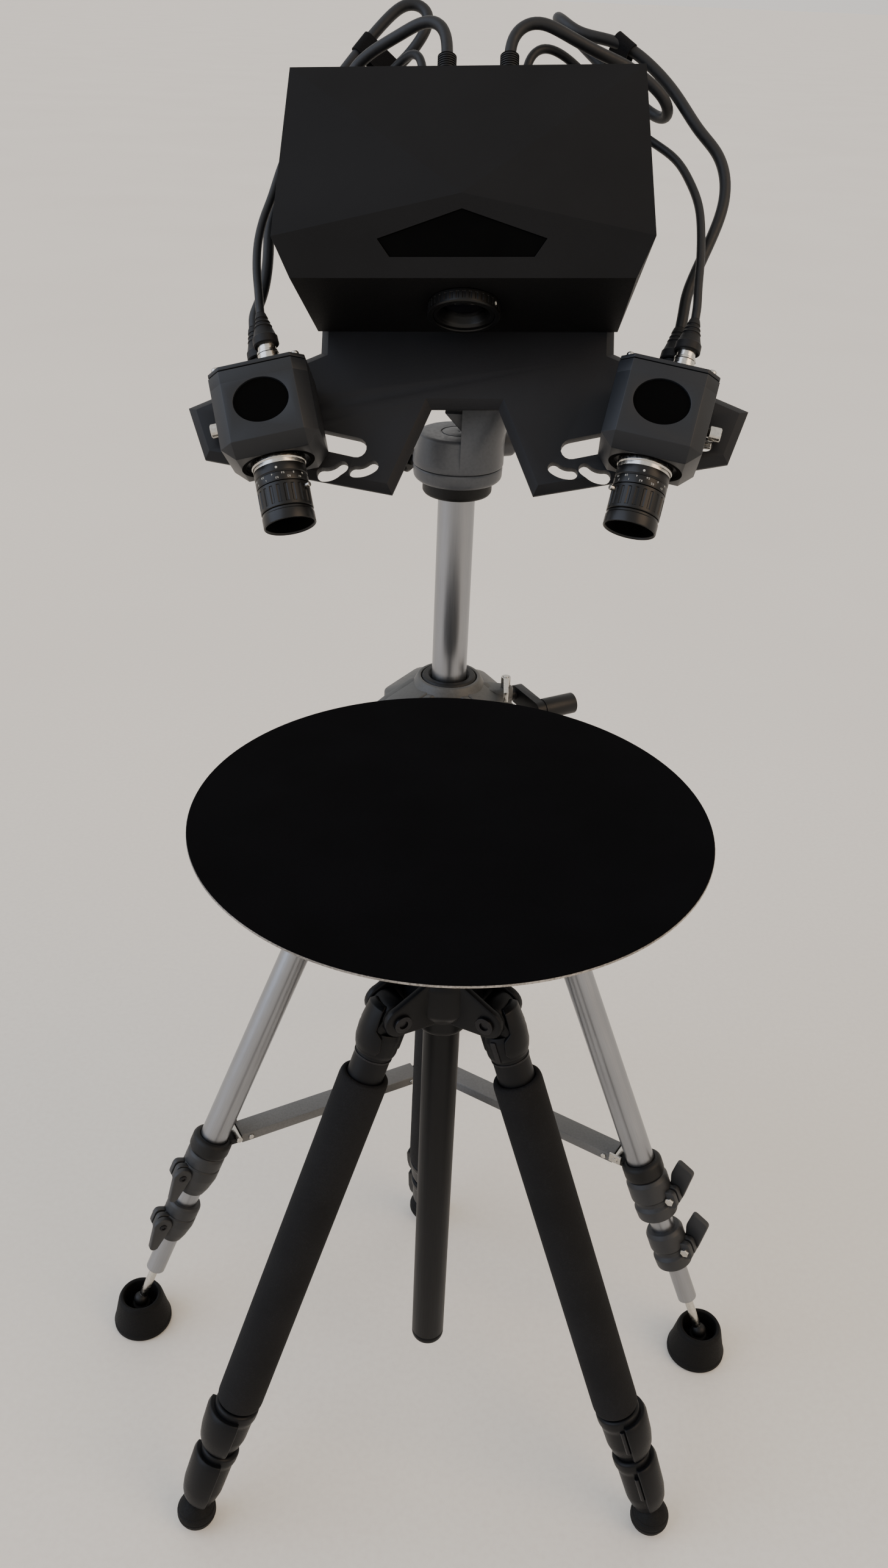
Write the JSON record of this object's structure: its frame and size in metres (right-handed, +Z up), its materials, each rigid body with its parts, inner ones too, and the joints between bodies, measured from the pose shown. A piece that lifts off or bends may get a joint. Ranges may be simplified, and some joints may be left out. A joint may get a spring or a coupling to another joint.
{
  "type": "structured-light three-d scanner",
  "caption": "Structured-light scanner: a tilting projector head with toed-in cameras on a braced tripod, above a motor turntable on a folding tripod.",
  "frame": {"origin": "bottom centre of the set on the floor", "axes": "+Z up, -Y towards the turntable and the viewer, +X to the right"},
  "size_m": [0.6006, 0.7556, 1.1368],
  "materials": {
    "housing_plastic": "fine matte moulded texture, charcoal black",
    "bracket_black": "black anodised plate, bevelled edges",
    "camera_black": "dark grey anodised box",
    "lens_black": "satin black turned lens barrel",
    "window_black": "black window in the visor",
    "lead_rubber": "dark grey cable jacket",
    "plug_black": "moulded black boots and glands",
    "board": "sensor board, inside",
    "engine": "projector light engine, inside",
    "head_grey": "grey painted casting",
    "knob_black": "moulded black knob",
    "column_silver": "satin anodised tube",
    "crown_grey": "grey painted casting",
    "collar_black": "moulded black collar",
    "clamp_grey": "grey moulded clamp with wing screw",
    "brace_grey": "grey brace arm",
    "chrome": "polished lever",
    "foot_rubber": "black rubber foot",
    "disc_black": "very matte black top, bare metal edge",
    "drive_black": "black drive housing",
    "stand_black": "black painted tube",
    "stand_joint": "black moulded shoulder and collar",
    "foam": "black foam grip"
  },
  "bodies": {
    "scanner_stand": {"crown": "crown_grey", "crown_collar": "collar_black", "leg_tubes": "column_silver", "leg_collars": "collar_black", "leg_clamps": "clamp_grey", "leg_braces": "brace_grey", "brace_hub": "brace_grey"},
    "column": {"centre_column": "column_silver", "pan_base": "head_grey"},
    "crank": {"crank": "knob_black"},
    "column_lock": {"column_lock": "chrome"},
    "pan": {"tilt_arm": "head_grey"},
    "pan_knob": {"pan_knob": "knob_black"},
    "tilt_knob": {"tilt_knob": "head_grey"},
    "head": {"tilt_plate": "head_grey", "bracket_plate": "bracket_black", "projector_cover": "housing_plastic", "projector_base": "housing_plastic", "rear_panel": "housing_plastic", "light_engine": "engine", "projector_lens": "lens_black", "front_window": "window_black", "lead_glands": "plug_black", "left_thick_lead": "lead_rubber", "left_thin_lead": "lead_rubber", "right_thick_lead": "lead_rubber", "right_thin_lead": "lead_rubber"},
    "projector_focus": {"projector_focus_ring": "lens_black"},
    "table_stand": {"table_shoulder": "stand_joint"},
    "table_collar": {"table_collar": "stand_joint"},
    "table_column": {"table_column": "stand_black", "turntable_drive": "drive_black"},
    "turntable": {"turntable_disc": "disc_black"},
    "left_camera": {"left_camera_box": "camera_black", "left_camera_cover": "camera_black", "left_sensor": "board", "left_plugs": "plug_black", "left_lens": "lens_black"},
    "left_focus": {"left_focus_ring": "lens_black"},
    "right_camera": {"right_camera_box": "camera_black", "right_camera_cover": "camera_black", "right_sensor": "board", "right_plugs": "plug_black", "right_lens": "lens_black"},
    "right_focus": {"right_focus_ring": "lens_black"},
    "leg_mid_a": {"leg_mid_a": "column_silver"},
    "leg_foot_a": {"leg_foot_a": "foot_rubber"},
    "table_leg_a": {"table_leg_a": "stand_black", "table_grip_a": "foam"},
    "table_foot_a": {"table_foot_a": "stand_black"},
    "leg_mid_b": {"leg_mid_b": "column_silver"},
    "leg_foot_b": {"leg_foot_b": "foot_rubber"},
    "table_leg_b": {"table_leg_b": "stand_black", "table_grip_b": "foam"},
    "table_foot_b": {"table_foot_b": "stand_black"},
    "leg_mid_c": {"leg_mid_c": "column_silver"},
    "leg_foot_c": {"leg_foot_c": "foot_rubber"},
    "table_leg_c": {"table_leg_c": "stand_black", "table_grip_c": "foam"},
    "table_foot_c": {"table_foot_c": "stand_black"}
  },
  "joints": [
    {"name": "column_lift", "type": "slide", "parent": "scanner_stand", "child": "column", "axis": [0, 0, 1], "range_m": [-0.06, 0.12]},
    {"name": "crank_turn", "type": "hinge", "parent": "scanner_stand", "child": "crank", "pos_m": [0, 0.03525, 0.615], "axis": [0.866, 0.5, 0], "range_deg": [-435, 870]},
    {"name": "column_lock_swing", "type": "hinge", "parent": "scanner_stand", "child": "column_lock", "pos_m": [0.048, 0.03525, 0.642], "axis": [0, 0, 1], "range_deg": [0, 60]},
    {"name": "head_pan", "type": "hinge", "parent": "column", "child": "pan", "pos_m": [0, 0.03525, 0.83], "axis": [0, 0, 1], "continuous": true},
    {"name": "pan_knob_turn", "type": "hinge", "parent": "column", "child": "pan_knob", "pos_m": [0, 0.03525, 0.8227], "axis": [-0.866, 0.5, 0], "range_deg": [-180, 180]},
    {"name": "head_tilt", "type": "hinge", "parent": "pan", "child": "head", "pos_m": [0, 0.03525, 0.895], "axis": [1, 0, 0], "range_deg": [-55, 15]},
    {"name": "tilt_knob_turn", "type": "hinge", "parent": "pan", "child": "tilt_knob", "pos_m": [0, 0.03525, 0.895], "axis": [1, 0, 0], "range_deg": [-180, 180]},
    {"name": "left_camera_toe", "type": "hinge", "parent": "head", "child": "left_camera", "pos_m": [-0.1274, -0.03525, 0.86142], "axis": [-0.0523, -0.7982, 0.6001], "range_deg": [-5, 5], "deforming": ["left_thick_lead", "left_thin_lead"]},
    {"name": "left_focus_turn", "type": "hinge", "parent": "left_camera", "child": "left_focus", "pos_m": [-0.12163, -0.07714, 0.85653], "axis": [0.245, -0.5928, -0.7672], "range_deg": [-120, 120]},
    {"name": "right_camera_toe", "type": "hinge", "parent": "head", "child": "right_camera", "pos_m": [0.13618, -0.04296, 0.87414], "axis": [-0.0523, -0.7982, 0.6001], "range_deg": [-5, 5], "deforming": ["right_thick_lead", "right_thin_lead"]},
    {"name": "right_focus_turn", "type": "hinge", "parent": "right_camera", "child": "right_focus", "pos_m": [0.12848, -0.08446, 0.8686], "axis": [-0.2042, -0.5797, -0.7888], "range_deg": [-120, 120]},
    {"name": "projector_focus_turn", "type": "hinge", "parent": "head", "child": "projector_focus", "pos_m": [0.00051, -0.02419, 0.95726], "axis": [0.0209, -0.6017, -0.7985], "range_deg": [-60, 60]},
    {"name": "leg_a_middle_slide", "type": "slide", "parent": "scanner_stand", "child": "leg_mid_a", "axis": [0, 0.418, -0.9085], "range_m": [0, 0.25]},
    {"name": "leg_a_lower_slide", "type": "slide", "parent": "leg_mid_a", "child": "leg_foot_a", "axis": [0, 0.418, -0.9085], "range_m": [0, 0.15]},
    {"name": "leg_b_middle_slide", "type": "slide", "parent": "scanner_stand", "child": "leg_mid_b", "axis": [-0.362, -0.209, -0.9085], "range_m": [0, 0.25]},
    {"name": "leg_b_lower_slide", "type": "slide", "parent": "leg_mid_b", "child": "leg_foot_b", "axis": [-0.362, -0.209, -0.9085], "range_m": [0, 0.15]},
    {"name": "leg_c_middle_slide", "type": "slide", "parent": "scanner_stand", "child": "leg_mid_c", "axis": [0.362, -0.209, -0.9085], "range_m": [0, 0.25]},
    {"name": "leg_c_lower_slide", "type": "slide", "parent": "leg_mid_c", "child": "leg_foot_c", "axis": [0.362, -0.209, -0.9085], "range_m": [0, 0.15]},
    {"name": "table_stand_shift", "type": "slide", "parent": "scanner_stand", "child": "table_stand", "axis": [0, -1, 0], "range_m": [0, 0.25]},
    {"name": "table_lift", "type": "slide", "parent": "table_stand", "child": "table_column", "axis": [0, 0, 1], "range_m": [-0.04, 0.02]},
    {"name": "table_collar_turn", "type": "hinge", "parent": "table_stand", "child": "table_collar", "pos_m": [0.0095, -0.19775, 0.535], "axis": [0, 0, 1], "range_deg": [-60, 60]},
    {"name": "turntable_spin", "type": "hinge", "parent": "table_column", "child": "turntable", "pos_m": [0.0095, -0.19775, 0.653], "axis": [0, 0, 1], "continuous": true},
    {"name": "table_leg_a_fold", "type": "hinge", "parent": "table_stand", "child": "table_leg_a", "pos_m": [0.00738, -0.1528, 0.5], "axis": [-0.9989, -0.0471, 0], "range_deg": [0, 20]},
    {"name": "table_leg_a_extend", "type": "slide", "parent": "table_leg_a", "child": "table_foot_a", "axis": [-0.0164, 0.3485, -0.9372], "range_m": [0, 0.2]},
    {"name": "table_leg_b_fold", "type": "hinge", "parent": "table_stand", "child": "table_leg_b", "pos_m": [-0.02837, -0.22206, 0.5], "axis": [0.5402, -0.8415, 0], "range_deg": [0, 20]},
    {"name": "table_leg_b_extend", "type": "slide", "parent": "table_leg_b", "child": "table_foot_b", "axis": [-0.2936, -0.1885, -0.9372], "range_m": [0, 0.2]},
    {"name": "table_leg_c_fold", "type": "hinge", "parent": "table_stand", "child": "table_leg_c", "pos_m": [0.04949, -0.21839, 0.5], "axis": [0.4586, 0.8886, 0], "range_deg": [0, 20]},
    {"name": "table_leg_c_extend", "type": "slide", "parent": "table_leg_c", "child": "table_foot_c", "axis": [0.31, -0.16, -0.9372], "range_m": [0, 0.2]}
  ],
  "couplings": [
    {"joint": "crank_turn", "follows": "column_lift", "rad_per_m": 125.66}
  ]
}
